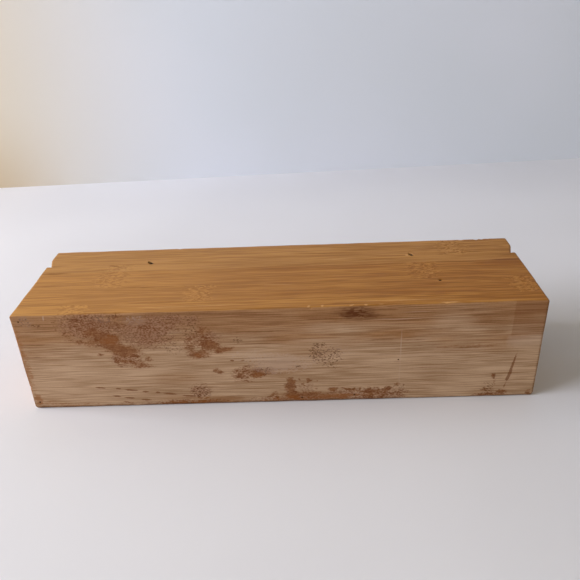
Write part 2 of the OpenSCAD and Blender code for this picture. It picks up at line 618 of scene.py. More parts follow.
class Pattern:
    """The growth pattern of one strip: its tone from 0 to 1, and the nodes that its finish needs."""

    def __init__(self, tree, strip):
        self.tree = tree
        self.place = tree.place()
        self.x, self.t, self.h = tree.split(self.place)
        self.seed = strip.layer * LAYER_SEED + PLACES.index(strip.place) * PLACE_SEED
        self.near = self.knuckles(KNUCKLES.get((strip.layer, strip.place), ()))
        swirl = tree.noise(self.place, SWIRL_GRAIN, self.seed, 2.0) - 0.5
        drift = tree.noise(self.place, DRIFT_GRAIN, self.seed + 1, 1.0) - 0.5
        bend = swirl * self.near * SWIRL_BEND + drift * DRIFT_BEND
        bent = tree.join(self.x, self.t + bend, self.h + bend * 0.8)
        self.streaks = tree.noise(bent, STREAK_GRAIN, self.seed + 2, 3.0, 0.62)
        self.fibres = tree.noise(bent, FIBRE_GRAIN, self.seed + 3, 1.0)
        veins = tree.ramp(tree.noise(bent, VEIN_GRAIN, self.seed + 8, 1.0, 0.6), 0.54, 0.66)
        bands = tree.noise(bent, BAND_GRAIN, self.seed + 4, 1.0)
        curled = tree.join(self.x + swirl * CURL, self.t + bend * 0.7, self.h + bend * 0.6)
        self.mottle = tree.noise(curled, MOTTLE_GRAIN, self.seed + 5, 2.0)
        grain = self.streaks * 0.46 + self.fibres * 0.34 + bands * 0.2
        tone = tree.blend(grain, self.mottle * 1.5 - 0.24, self.near * 0.66)
        self.tone = tree.ramp(tone, 0.42, 0.58) - veins * (0.4 - self.near * 0.24)

    def knuckles(self, middles):
        """1 in the middle of the strip's knuckles and 0 away from them, with a ragged edge."""
        ragged = self.tree.noise(self.place, RAGGED_GRAIN, self.seed + 6, 2.0) - 0.5
        total = 0.0
        for middle in middles:
            away = self.tree.math("ABSOLUTE", self.x - middle) + ragged * KNUCKLE_RAGGED
            total = total + self.tree.ramp(away, KNUCKLE_HALF * 1.15, KNUCKLE_HALF * 0.2)
        return total

    def glue(self, strip):
        """The thin glue lines along the strip's joints with its neighbours, dark in some stretches only."""
        gap = 99.0
        for value, edges, outer in ((self.t, strip.t, DEPTH), (self.h, strip.h, HEIGHT)):
            for edge in edges:
                if EDGE_RADIUS < edge < outer - EDGE_RADIUS:
                    gap = self.tree.math("MINIMUM", self.tree.math("ABSOLUTE", value - edge), gap)
        patchy = self.tree.noise(self.place, GLUE_GRAIN, 0.4, 2.0)
        return self.tree.ramp(gap, *GLUE_HALF_WIDTH) * self.tree.ramp(patchy, 0.38, 0.64, 0.25, 0.9)

    def facing(self, axis):
        """1 on the sides that face along this axis, either way, and 0 on the others."""
        normal = self.tree.node("NewGeometry", {}, output="Normal")
        return self.tree.ramp(self.tree.math("ABSOLUTE", self.tree.split(normal)[axis]), 0.6, 0.85)

    def with_end_grain(self, colour, strip):
        """Shows cut fibres on the strip's two ends, closer together and darker towards one of its sides."""
        tree = self.tree
        away = tree.dots(self.place, END_GRAIN, self.seed)
        cloud = tree.noise(self.place, END_CLOUD_GRAIN, self.seed + 7, 3.0, 0.6) - 0.5
        rind, pith = strip.h if math.sin(self.seed * 5.1) > 0 else strip.h[::-1]
        dense = tree.ramp(self.h + cloud * 5.0, pith, rind)
        dense = dense + 0.22 * math.sin(self.seed * 2.9)
        cut = tree.mix(END_PITH, END_RIND, dense)
        cut = tree.mix(cut, END_DOT, tree.ramp(away, 0.48, 0.14) * (dense * 0.4 + 0.45))
        return tree.mix(colour, cut, self.facing(0) * END_COVER)


def golden_finish(tree, strip, pattern):
    """The finish of a strip that isn't stained: oiled carbonised bamboo, with painted shade along its
    rounded edges and in its holes, and on the top painted sheen to the left and towards the rear and painted
    shade to the right.
    """
    on_top = strip.is_top
    dark, light = PALETTES.get(strip.place if on_top else "", (GOLDEN_DARK, GOLDEN_LIGHT))
    if on_top:
        # Painted shade: each top strip turns darker towards its right end, away from the light
        tone = pattern.tone + TONES[strip.place] - pattern.x * (RIGHT_SHADE_SLOPES[strip.place] / LENGTH)
    else:
        tone = pattern.tone + LAYER_CONTRAST * math.sin(pattern.seed * 1.7)
    colour = tree.mix(dark, light, tone)
    if on_top:
        # Painted sheen: the top turns paler and greyer towards its left end, nearer the light
        colour = tree.mix(colour, PALE_FIBRE, tree.ramp(pattern.x, HALF, -HALF, 0.0, LEFT_SHEEN_PAINT))
        frayed = (tree.noise(pattern.place, FRAY_GRAIN, 2.0, 1.0) - 0.5) * FRAY
        plane = tree.join(pattern.x, pattern.t + frayed, 0.0)
        near = [mark for mark in TOP_DARK if strip.t[0] - 1 <= mark[1] <= strip.t[1] + 1]
        colour = tree.mix(colour, STREAK_BROWN, tree.marks(plane, near) * TOP_DARK_COVER)
        near = [mark for mark in TOP_PALE if strip.t[0] - 1 <= mark[1] <= strip.t[1] + 1]
        colour = tree.mix(colour, PALE_FIBRE, tree.marks(plane, near) * TOP_PALE_COVER)
    colour = pattern.with_end_grain(colour, strip)
    colour = tree.mix(colour, GLUE_BROWN, pattern.glue(strip) * (0.5 + pattern.facing(0) * 0.3))
    # Painted shade along the rounded ends and back edge, mostly on the top and bottom faces
    edge = tree.math("MAXIMUM", tree.math("ABSOLUTE", pattern.x) - HALF, pattern.t - DEPTH)
    worn = tree.ramp(edge + (pattern.mottle - 0.5) * 1.2, -1.1, -0.2) * (pattern.facing(2) * 0.7 + 0.15)
    colour = tree.mix(colour, RIM_SHADE_BROWN, worn * RIM_SHADE_COVER)
    if on_top:
        # Painted shade where the top sinks into its holes
        near = [mark for mark in HOLE_SHADE_SPOTS if strip.t[0] <= mark[1] <= strip.t[1]]
        if near:
            sunk = tree.ramp(pattern.h, HEIGHT - 0.1, HEIGHT - 0.7) * tree.marks(plane, near)
            colour = tree.mix(colour, HOLE_SHADE_BROWN, sunk)
    roughness = tree.ramp(pattern.streaks, 0.35, 0.65, *GOLDEN_ROUGHNESS)
    relief = pattern.streaks * 0.5 + pattern.fibres * 0.3 + pattern.mottle * 0.2
    return colour, roughness, relief


def hidden_finish(tree, strip, pattern):
    """The finish of a strip inside the block, with nothing but its tone and fibres."""
    colour = tree.mix(GOLDEN_DARK, GOLDEN_LIGHT, pattern.tone)
    return pattern.with_end_grain(colour, strip), HIDDEN_ROUGHNESS, None


# The stained front face

FRONT_PALE_DARK = rgb(153, 120, 89)
FRONT_PALE_LIGHT = rgb(196, 164, 134)
FRONT_TAN_DARK = rgb(130, 88, 54)
FRONT_TAN_LIGHT = rgb(170, 127, 88)
RUST_DARK = rgb(110, 62, 31)
RUST_LIGHT = rgb(137, 90, 55)
PURPLE_DARK = rgb(118, 77, 52)
PURPLE_LIGHT = rgb(158, 120, 97)
ORANGE_BROWN = rgb(142, 85, 40)
MOULD = rgb(98, 64, 41)
BLOOM = rgb(190, 163, 144)
LINE_BROWN = rgb(112, 70, 38)
FOOT_BROWN = rgb(122, 74, 42)
BOTTOM_BROWN = rgb(96, 56, 28)
# Painted shade for the front's end edges and its pits
EDGE_SHADE = rgb(84, 54, 30)

# Marks on it: middle x and h, half sizes, strength, and any turn in degrees
RUST_MARKS = [
    (-98, 54, 11, 5.5, 0.62),
    (-80, 54, 12, 4.8, 0.55),
    (-95.5, 47.7, 6, 3, 1.2, 10),
    (-87, 43, 7.5, 5.2, 1.5, -20),
    (-96, 41.6, 4, 2.2, 1.2),
    (-93, 34.7, 2, 0.8, 0.8),
    (-80, 35.8, 10.5, 3.8, 1.35, -10),
    (-83, 30, 4.8, 3, 1),
    (-74.7, 28.7, 6.5, 2.4, 0.95),
    (-71, 26.2, 6, 1.2, 0.9),
    (-67.8, 31.3, 2.6, 2.4, 0.8),
    (-69, 44, 10, 6.5, 0.28),
    (-60.5, 50, 14, 5, 0.4),
    (-107, 46, 5, 4.5, 0.5),
    (-102, 42, 3.5, 1.6, 0.7),
    (-38, 47.5, 3.6, 2.6, 0.9),
    (-40, 42, 9, 5.4, 0.75),
    (-33, 37.5, 4.5, 3, 1, -30),
    (-28, 35.3, 5.4, 2.1, 1.5, 14),
    (-41.5, 32.6, 6.6, 3, 1.4),
    (-46.5, 37, 3.6, 3.6, 0.65),
    (-37, 37.5, 4, 4, 0.75),
    (-44, 9, 4.5, 4, 0.45),
    (-33, 21.8, 3.2, 1.8, 1.1, -12),
    (-24.5, 28.3, 1.3, 0.8, 1),
    (-19.5, 28.2, 1.2, 0.8, 1),
    (-16, 20.6, 12, 5.4, 0.78, 12),
    (-12, 18.8, 4, 2.1, 0.85),
    (-22, 18.4, 2.6, 1.6, 0.45, 20),
    (-19, 14.5, 6, 0.6, 0.7),
    (-5.5, 21, 3.4, 2.8, 0.5),
    (-47, 1.8, 21, 1.6, 0.95),
    (5.6, 14.4, 2.4, 2.3, 1.3),
    (5.2, 9.5, 3, 4.6, 1.5),
    (6.2, 4.6, 4.4, 3, 1.5),
    (-4.9, 5.6, 3.2, 1, 1, 38),
    (-2.4, 4.6, 0.9, 2.4, 0.8),
    (14.8, 14, 1.1, 2, 1.1, -20),
    (12.4, 11.4, 1.3, 1.4, 1, 30),
    (10, 15.2, 0.9, 1.2, 0.9),
    (19.3, 13.6, 0.9, 0.6, 1.1),
    (19.2, 8.5, 0.8, 0.5, 1),
    (15.6, 4.8, 5.8, 2.8, 1.1),
    (27.8, 7.8, 3, 1.3, 1.3),
    (37.5, 7.1, 7.4, 1.25, 1.3, -12),
    (46, 4.8, 3.5, 3.6, 1),
    (42.5, 8.4, 1.6, 0.9, 1),
    (52, 4.6, 7, 4.2, 1),
    (57, 7.6, 2.8, 1.6, 0.9),
    (62, 10.4, 2.2, 1.4, 1, 20),
    (64, 3.6, 6, 2.8, 0.62),
    (112.7, 13.8, 1, 1.6, 1.3),
    (112.9, 9.5, 0.8, 2.8, 0.7),
    (117.4, 3.4, 3.2, 1.5, 1.2),
    (111.2, 4.2, 2.6, 2.6, 0.95),
    (107.4, 4.6, 1.8, 2, 0.9),
    (111, 1.6, 9.5, 1.1, 1),
    (132, 2.8, 2.3, 1.5, 1, 30),
    (-83, 2.6, 5, 0.8, 0.9, -3),
    (-57, 2, 8, 1, 0.7),
    (-44, 5, 1.6, 0.5, 1.3, -5),
    (-40, 4.6, 1.8, 0.55, 1.4, -5),
]
# Two trails of dashes that slant down to the right: middle x, h and half length of each dash
DASH_SLANT = -7.0
DASH_HALF_HEIGHT = 0.6
DASHES = [
    (-96.5, 13, 3),
    (-87.2, 12.1, 1.6),
    (-80.4, 10.9, 4),
    (-72.9, 9.7, 1.8),
    (-66.3, 8.9, 1.3),
    (-59.8, 7.8, 3.8),
    (-49.8, 6.1, 3.6),
    (-88.9, 7.1, 2.4),
    (-82.2, 5.7, 3),
    (-73.4, 4.2, 2.8),
]
# A run of dried drips near the right end, and the dashes: these keep their outlines
NEAT_MARKS = [
    (121.4, 20.5, 7.8, 0.62, 1.4, 80),
    (120.6, 15, 4.6, 1, 1.3, 79),
    (119.6, 11.6, 1.8, 0.9, 1, 78),
    (118.9, 7.6, 2.2, 0.5, 0.7, 76),
    (112.7, 13.6, 2, 0.75, 1, 88),
]
NEAT_MARKS += [(x, h, half, DASH_HALF_HEIGHT, 1.25, DASH_SLANT) for x, h, half in DASHES]
# Faint pale scratches: one short and one tall
SCRATCH_MARKS = [
    (-117.6, 57.3, 0.4, 1.5, 1.4, -6),
    (62.8, 33, 0.36, 11, 1),
    (62.8, 16, 0.36, 8, 0.6),
]
PURPLE_MARKS = [
    (-96, 52, 17, 9, 1),
    (-68, 46, 15, 9, 1),
    (-56, 53, 20, 5.5, 0.7),
    (-80, 31, 9, 5, 0.8),
    (-43, 9.5, 6.5, 5, 0.7),
    (-38, 42, 10, 7, 0.5),
    (-16, 20, 11, 5, 0.4),
    (46, 4, 24, 4.5, 0.8),
    (5, 2, 26, 3, 0.7),
    (-52, 1.5, 26, 2.6, 0.6),
    (12, 7, 9, 6, 0.4),
]
ORANGE_MARKS = [
    (-86.5, 43, 5.5, 4.2, 0.75),
    (-131.8, 6.4, 2.3, 3.6, 1.3),
    (-134.5, 30, 3.6, 26, 1),
    (-127, 3.5, 8, 1.6, 0.6),
    (-110, 2.4, 14, 1.2, 0.55),
    (-41.5, 32.3, 3, 1.2, 0.6),
    (-12, 18.6, 3.4, 1.6, 0.6),
    (31, 3.3, 12.5, 1.6, 1.4),
    (5, 2.4, 18, 1.6, 0.7),
    (-50, 1.8, 24, 1.4, 0.7),
    (6, 4, 3.5, 1.4, 0.8),
    (27.8, 7.8, 2.4, 0.9, 0.6),
    (96, 33, 24, 1.4, 0.35),
]
MOULD_MARKS = [
    (-54.5, 38, 7.5, 6, 0.42),
    (-60, 45, 8, 4, 0.25),
    (-43.5, 52, 4.5, 7, 0.45),
    (-46, 45, 6, 4, 0.35),
    (24, 29.8, 9.2, 7.2, 0.9, -18),
    (20.8, 36.2, 3.8, 1.5, 1.3),
    (17.8, 31, 1.8, 4.2, 0.9),
    (30, 31, 2.4, 2.4, 0.6),
    (28.4, 23.6, 2.8, 1.3, 0.5, -40),
    (9.7, 23.5, 1.1, 0.9, 2.2),
    (-8, 21.5, 3.4, 2.4, 0.85),
    (-92, 56, 16, 2.5, 0.4),
    (-21, 40.5, 3.5, 2.5, 0.6),
    (-43, 8.5, 5.5, 4, 0.8),
    (-128, 55, 5, 3, 0.8),
    (-122, 52.8, 2.2, 1.2, 1.4),
    (-82, 57.5, 3, 0.9, 0.9, 10),
    (63, 9, 5, 3, 0.5),
    (110, 6, 4, 5, 0.5),
]
BLOOM_MARKS = [
    (-4.3, 26, 13, 7.5, 1.2),
    (6, 25, 16, 6.5, 1),
    (28, 32, 14, 7, 0.55),
    (-18, 31, 12, 4.5, 0.7),
    (-72, 54.5, 8, 4.4, 0.62),
    (-89, 55.5, 10, 3, 0.5),
    (-128, 55, 6.5, 4.4, 0.62),
    (60, 31, 10, 5, 0.3),
]
# Where the front is browner, or where the strength is less than 0 paler
SHADE_MARKS = [
    (-121, 41, 14, 5, 0.35),
    (-120, 11, 16, 5, -0.7),
    (-55, 47.5, 9, 4, -0.25),
    (-55, 18, 14, 5, 0.35),
    (24, 46.5, 14, 3.8, -0.5),
    (-2, 46, 12, 3, -0.2),
    (24, 55.5, 14, 4, 0.3),
    (56, 40.5, 13, 4.5, 0.5),
    (90, 48, 13, 5, -0.45),
    (112, 35, 10, 8, 0.5),
    (92, 35, 14, 7, 0.35),
    (0, 22, 16, 6, 0.4),
    (112, 26, 9, 2.5, -0.3),
    (14, 33.5, 20, 5, 0.3),
    (54, 55, 12, 4, 0.3),
    (92, 4, 12, 4, -0.7),
    (-55, 4, 12, 3, 0.4),
    (-32, 3, 15, 3, 0.8),
    (14, 4, 22, 3.4, 0.9),
]
DARK_LINES = [
    (-8, 45.4, 26, 0.45, 1),
    (-2, 42.6, 18, 0.35, 0.7),
    (-8, 38.3, 13, 0.4, 1),
    (52, 38.3, 8, 0.45, 1.2),
    (70.5, 38.3, 9, 0.4, 1.1),
    (97, 32.8, 20, 0.7, 1.1, 1),
    (76, 34.2, 8, 0.5, 0.9),
    (102, 51.6, 6.5, 0.45, 1.1),
    (65, 49.6, 13, 0.45, 1.2),
    (106, 47.3, 9.5, 0.45, 1.1, -2),
    (83, 44.2, 8, 0.45, 0.8),
    (76, 20.2, 12, 0.4, 0.8),
    (60, 24.4, 14, 0.3, 0.6),
    (-127, 33.8, 8, 0.45, 1),
    (-124, 41.4, 10, 0.45, 0.9),
    (-120, 37.2, 12, 0.4, 0.6),
    (-86, 33.3, 26, 0.35, 0.6),
    (-70, 14.8, 24, 0.3, 0.4),
    (20, 52, 12, 0.45, 0.7),
    (55, 56.4, 8, 0.5, 1),
    (50, 53.5, 8, 0.7, 1.1),
    (97, 54.5, 8, 0.6, 0.8, -3),
    (13, 50, 30, 0.35, 0.5),
]
PALE_LINES = [
    (61, 50.8, 15, 0.35, 1.2),
    (70, 54.6, 9, 0.3, 0.9),
    (-56, 46.6, 9, 0.35, 0.8),
    (20, 39.5, 15, 0.3, 0.7),
    (14, 44, 12, 0.3, 0.6),
    (96, 31.6, 12, 0.35, 0.9),
    (74, 28, 12, 0.3, 0.6),
    (84, 18, 12, 0.3, 0.6),
]
KNOT_MARKS = [
    (39.5, 56.2, 10.5, 3.1, 1.2),
    (43, 53.2, 8, 2.9, 1.1),
    (36, 53.5, 4.5, 2, 1.2),
]
# Painted shade in the front's small pits
PIT_SHADE_MARKS = [(x, h, radius * 1.5, radius * 1.5, 1.6) for x, t, h, radius, depth in PITS if t == 0]
# The print of a stick-on foot: from and to along x and h
FOOT_SPAN = ((118.4, 134.2), (38.9, 60.0))

# Grains of the front's noises, in millimetres along x, t and h
SWAY_X_GRAIN = (5.0, 9.0, 2.6)
SWAY_H_GRAIN = (6.0, 9.0, 2.6)
WAVE_GRAIN = (14.0, 9.0, 4.0)
SPECK_GRAIN = (1.1, 3.0, 0.7)
BLOTCH_GRAIN = (5.0, 6.0, 2.2)
CLOUD_GRAIN = (34.0, 9.0, 8.0)

# How far they push the marks' edges about, in millimetres
SWAY_X = 6.0
SWAY_H = 3.6
WAVE = 1.6
NUDGE = 1.1
FOOT_FUZZ = 0.8

# The height over which pale wood turns brown, how far clouds move it, and how far it sinks to the right
BROWN_HEIGHTS = (32.0, 50.0)
BROWN_CLOUD = 40.0
BROWN_SINK = 4.0

# How far past a strip's own layer a mark is still drawn on it, in millimetres
MARK_MARGIN = 2

# How much each layer hides what is under it
TAN_COVER = 0.9
PALE_LINE_COVER = 0.35
PURPLE_COVER = 0.8
RUST_COVER = 0.85
ORANGE_COVER = 0.6
BLOOM_COVER = 0.46
NEAT_COVER = 0.7
SCRATCH_COVER = 0.42
MOULD_COVER = 0.8
KNOT_COVER = 0.75
UNDER_FOOT_COVER = 0.28
BOTTOM_SHADE_COVER = 0.75
END_EDGE_SHADE_COVER = 0.55
PIT_SHADE_COVER = 0.9
FRONT_GLUE_COVER = 0.2
FRONT_ROUGHNESS = (0.74, 0.88)


class Front:
    """The stained front of one strip. Its colour is laid on in layers, one method after another."""

    def __init__(self, tree, strip, pattern):
        self.tree = tree
        self.strip = strip
        self.pattern = pattern
        place, x, h = pattern.place, pattern.x, pattern.h
        self.flat = tree.join(x, h, 0.0)
        sway_x = (tree.noise(place, SWAY_X_GRAIN, 3.0, 3.0) - 0.5) * SWAY_X
        sway_h = (tree.noise(place, SWAY_H_GRAIN, 4.0, 3.0) - 0.5) * SWAY_H
        self.ragged = tree.join(x + sway_x, h + sway_h, 0.0)
        wave = (tree.noise(place, WAVE_GRAIN, 5.0, 1.0) - 0.5) * WAVE
        self.wavy = tree.join(x + sway_x, h + wave, 0.0)
        self.speck = tree.noise(place, SPECK_GRAIN, 6.0, 2.0, 0.6)
        self.blotch = tree.noise(place, BLOTCH_GRAIN, 7.0, 4.0, 0.66)
        self.cloud = tree.noise(place, CLOUD_GRAIN, 8.0, 2.0)
        self.tone = (pattern.tone - 0.5) * 0.5 + (pattern.fibres - 0.5) * 1.3 + 0.55
        self.crumbs = (self.blotch - 0.5) * 2.6 + (self.speck - 0.5) * 2.0 + (pattern.streaks - 0.5) * 0.9

    def spread(self, marks, plane):
        """The sum of those marks that reach this strip's layer."""
        low, high = self.strip.h
        near = []
        for mark in marks:
            middle, half_wide, half_high = mark[1:4]
            turn = math.radians(sum(mark[5:]))
            reach = MARK_MARGIN + math.hypot(half_wide * math.sin(turn), half_high * math.cos(turn))
            if low - reach < middle < high + reach:
                near.append(mark)
        return self.tree.marks(plane, near)

    def grain(self):
        """Washed-out wood, browner higher up, with dark and pale lines."""
        tree, x, h = self.tree, self.pattern.x, self.pattern.h
        sink = tree.ramp(x, 40.0, 110.0) * BROWN_SINK
        brown = tree.ramp(h + (self.cloud - 0.5) * BROWN_CLOUD - sink, *BROWN_HEIGHTS)
        shade = self.spread(SHADE_MARKS, self.wavy)
        light = self.tone + (self.cloud - 0.5) * 0.9 - shade * 0.4
        colour = tree.mix(FRONT_PALE_DARK, FRONT_PALE_LIGHT, light)
        tan = tree.mix(FRONT_TAN_DARK, FRONT_TAN_LIGHT, self.tone)
        colour = tree.mix(colour, tan, (brown + shade) * TAN_COVER)
        lines = self.spread(DARK_LINES, self.wavy) * tree.ramp(self.blotch, 0.3, 0.6, 0.25, 0.55)
        colour = tree.mix(colour, LINE_BROWN, lines)
        return tree.mix(colour, BLOOM, self.spread(PALE_LINES, self.wavy) * PALE_LINE_COVER)

    def stained(self, colour, marks, stain, low, high, cover):
        """Lays a stain over the colour where its marks are, broken up into crumbs towards their edges."""
        field = self.spread(marks, self.ragged)
        crumbled = (field + self.crumbs) * self.tree.ramp(field, 0.03, 0.4)
        return self.tree.mix(colour, stain, self.tree.ramp(crumbled, low, high) * cover)

    def with_stains(self, colour):
        """Adds the purple haze, the rust-brown patches and their orange middles."""
        tree = self.tree
        haze = tree.ramp(self.speck + self.crumbs * 0.06, 0.36, 0.64)
        purple = tree.mix(PURPLE_LIGHT, PURPLE_DARK, haze)
        colour = self.stained(colour, PURPLE_MARKS, purple, -0.3, 1.1, PURPLE_COVER)
        rust = tree.mix(RUST_LIGHT, RUST_DARK, tree.ramp(self.crumbs, -0.5, 0.6))
        colour = self.stained(colour, RUST_MARKS, rust, 0.05, 1.3, RUST_COVER)
        return self.stained(colour, ORANGE_MARKS, ORANGE_BROWN, 0.0, 1.3, ORANGE_COVER)

    def with_small_marks(self, colour):
        """Adds the pale bloom, the drips and dashes, the scratches, the mould and the knot."""
        tree, speck = self.tree, self.speck
        bloom = self.spread(BLOOM_MARKS, self.ragged)
        gritty = (bloom + (speck - 0.5) * 6.0 + self.crumbs * 0.3) * tree.ramp(bloom, 0.05, 0.7)
        colour = tree.mix(colour, BLOOM, tree.ramp(gritty, 0.1, 1.5) * BLOOM_COVER)
        nudge = (speck - 0.5) * NUDGE
        neat_plane = tree.join(self.pattern.x + nudge, self.pattern.h + nudge * 0.6, 0.0)
        neat = tree.ramp(self.spread(NEAT_MARKS, neat_plane) + (self.blotch - 0.5) * 1.2, 0.1, 1.0)
        colour = tree.mix(colour, RUST_DARK, neat * NEAT_COVER)
        colour = tree.mix(colour, BLOOM, self.spread(SCRATCH_MARKS, self.flat) * SCRATCH_COVER)
        mould = self.spread(MOULD_MARKS, self.ragged)
        specks = tree.ramp(speck + mould * 0.07, 0.56, 0.67) * tree.ramp(mould, 0.05, 0.5)
        colour = tree.mix(colour, MOULD, specks * MOULD_COVER)
        knot = self.spread(KNOT_MARKS, self.wavy) * tree.ramp(self.pattern.mottle, 0.38, 0.6, 0.45, 1.0)
        return tree.mix(colour, BOTTOM_BROWN, knot * KNOT_COVER)

    def with_foot_print(self, colour):
        """Adds the darker print of the foot that stuck to the right end, and the paler wood under it."""
        tree, x, h = self.tree, self.pattern.x, self.pattern.h
        (left, right), (low, high) = FOOT_SPAN
        fuzz = (self.blotch - 0.5) * FOOT_FUZZ
        foot = tree.ramp(x + fuzz, left - 0.4, left + 0.4) * tree.ramp(x + fuzz, right + 0.6, right - 0.6)
        foot = foot * tree.ramp(h + fuzz, low - 0.4, low + 0.4)
        below = tree.ramp(x, left - 3.0, left) * tree.ramp(h, low + 1.0, low - 1.0)
        below = below * tree.ramp(h, low - 9.0, low - 3.0)
        colour = tree.mix(colour, BLOOM, below * UNDER_FOOT_COVER)
        print_tone = tree.mix(FOOT_BROWN, FRONT_TAN_DARK, self.tone)
        return tree.mix(colour, print_tone, foot * (0.4 + (self.pattern.streaks - 0.5) * 0.9))

    def with_edges(self, colour):
        """Adds painted shade along the bottom edge, along the two end edges and in the pits, and darkens the
        glue lines.
        """
        tree, x, h = self.tree, self.pattern.x, self.pattern.h
        # Painted shade along the bottom edge, where the front meets the floor, weaker to the right
        bottom = tree.ramp(h + (self.blotch - 0.5) * 4.0, 2.2, 0.5) * tree.ramp(x, 60.0, 68.0, 1.0, 0.35)
        colour = tree.mix(colour, BOTTOM_BROWN, bottom * BOTTOM_SHADE_COVER)
        # Painted shade along the two rounded end edges of the front
        fuzz = (self.blotch - 0.5) * FOOT_FUZZ
        end_edge_shade = tree.ramp(tree.math("ABSOLUTE", x) + fuzz, HALF - 1.6, HALF - 0.4)
        colour = tree.mix(colour, EDGE_SHADE, end_edge_shade * END_EDGE_SHADE_COVER)
        colour = tree.mix(colour, EDGE_SHADE, self.spread(PIT_SHADE_MARKS, self.flat) * PIT_SHADE_COVER)
        return tree.mix(colour, GLUE_BROWN, self.pattern.glue(self.strip) * FRONT_GLUE_COVER)


def front_finish(tree, strip, pattern):
    """The finish of a front strip: stained wood in front, and clean bamboo just behind it."""
    front = Front(tree, strip, pattern)
    colour = front.with_stains(front.grain())
    colour = front.with_small_marks(colour)
    colour = front.with_foot_print(colour)
    colour = front.with_edges(colour)
    clean_colour, clean_roughness, relief = golden_finish(tree, strip, pattern)
    clean = tree.ramp(pattern.t + (front.blotch - 0.5) * 0.5, 0.2, 0.85)
    colour = tree.mix(colour, clean_colour, clean)
    matt = tree.ramp(front.blotch, 0.3, 0.7, *FRONT_ROUGHNESS)
    roughness = tree.blend(matt, clean_roughness, clean)
    return colour, roughness, relief + (front.speck - 0.5) * 0.5


def strip_material(strip):
    tree = Tree(bpy.data.materials.new(strip.name + "_finish"))
    tree.shader.inputs["Specular IOR Level"].default_value = SHEEN
    make = hidden_finish
    if strip.is_shown:
        make = front_finish if strip.is_front else golden_finish
    colour, roughness, relief = make(tree, strip, Pattern(tree, strip))
    return tree.finish(colour, roughness, relief, GRAIN_DEPTH)


# Metal inside the block

# Each metal's dark and light colour, roughness and grain, by its slot
METALS = {
    "magnet_nickel": (rgb(168, 166, 160), rgb(206, 204, 198), 0.28, (5.0, 5.0, 5.0)),
    "backing_steel": (rgb(120, 122, 124), rgb(160, 162, 164), 0.42, (30.0, 6.0, 6.0)),
    "nail_iron": (rgb(34, 26, 20), rgb(84, 68, 54), 0.6, (1.2, 1.2, 1.2)),
}
MAGNET_CHAMFER = 0.35
MAGNET_TURNS = 64
BACKING_BEVEL = 0.4
BACKING_BEVEL_STEPS = 3
NAIL_SHANK_RADIUS = 0.8
NAIL_HEAD_THICKNESS = 0.8
NAIL_POINT = 1.6
NAIL_TURNS = 24


def metal_material(slot):
    """Plated or drawn metal, with a faint cloud and fine scratches."""
    dark, light, roughness, grain = METALS[slot]
    tree = Tree(bpy.data.materials.new(slot + "_finish"))
    place = tree.place()
    cloud = tree.noise(place, grain, 1.0, 3.0)
    scratch = tree.noise(place, (grain[0] * 2, grain[1] * 0.05, grain[2]), 2.0, 2.0)
    share = tree.ramp(cloud * 0.6 + scratch * 0.4, 0.38, 0.62)
    tree.shader.inputs["Metallic"].default_value = 1.0
    return tree.finish(tree.mix(dark, light, share), roughness)


def build_magnet(node, material):
    low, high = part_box(node)
    centre = ((low.x + high.x) / 2 / MM, ((low.y + high.y) / 2 - cad_low.y) / MM)
    bottom, top = ((z - cad_low.z) / MM for z in (low.z, high.z))
    radius = (high.x - low.x) / 2 / MM
    inner = radius - MAGNET_CHAMFER
    outline = [(0, bottom), (inner, bottom), (radius, bottom + MAGNET_CHAMFER)]
    outline += [(radius, top - MAGNET_CHAMFER), (inner, top), (0, top)]
    made = mesh_object(node + "_disc", *lathe(outline, MAGNET_TURNS, centre))
    made.data.materials.append(material)
    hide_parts(node)


def build_backing(material):
    low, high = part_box("backing_strip")
    xs = [low.x / MM, high.x / MM]
    ts = [(y - cad_low.y) / MM for y in (low.y, high.y)]
    hs = [(z - cad_low.z) / MM for z in (low.z, high.z)]
    made = mesh_object("backing_plate", *grid_box(xs, ts, hs))
    bevel = made.modifiers.new("rolled_edge", "BEVEL")
    bevel.width = BACKING_BEVEL * MM
    bevel.segments = BACKING_BEVEL_STEPS
    made.data.materials.append(material)
    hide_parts("backing_strip")


def build_nails(material):
    """Both sunk brads as one piece: a dished head, a shank and a cut point each."""
    bottom = (nail_low.z - cad_low.z) / MM
    under_head = NAIL_TOP - NAIL_HEAD_THICKNESS
    outline = [
        (0, bottom),
        (NAIL_SHANK_RADIUS * 0.3, bottom + 0.1),
        (NAIL_SHANK_RADIUS, bottom + NAIL_POINT),
        (NAIL_SHANK_RADIUS, under_head - 0.3),
        (NAIL_HEAD_RADIUS - 0.1, under_head),
        (NAIL_HEAD_RADIUS, under_head + 0.2),
        (NAIL_HEAD_RADIUS, NAIL_TOP - 0.15),
        (NAIL_HEAD_RADIUS - 0.15, NAIL_TOP),
        (NAIL_HEAD_RADIUS * 0.55, NAIL_TOP - 0.06),
        (NAIL_HEAD_RADIUS * 0.4, NAIL_TOP - 0.22),
        (0, NAIL_TOP - 0.26),
    ]
    all_points, all_faces = [], []
    for side in (-1, 1):
        points, faces = lathe(outline, NAIL_TURNS, (side * NAIL_X, NAIL_T))
        start = sum(len(group) for group in all_points)
        all_points.append(points)
        all_faces += [[start + n for n in face] for face in faces]
    made = mesh_object("sunk_brads", np.concatenate(all_points), all_faces)
    made.data.materials.append(material)
    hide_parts("brad_nails")


# Build the block: the strips that show first, the ones inside it last

strips = [Strip(node) for node in sorted(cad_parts) if node.startswith("layer_")]
for strip in sorted(strips, key=lambda strip: not strip.is_shown):
    build_strip(strip).data.materials.append(strip_material(strip))

nickel, steel, iron = (metal_material(slot) for slot in METALS)
for node in sorted(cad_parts):
    if node.startswith("magnet_"):
        build_magnet(node, nickel)
build_backing(steel)
build_nails(iron)


# Floor and wall

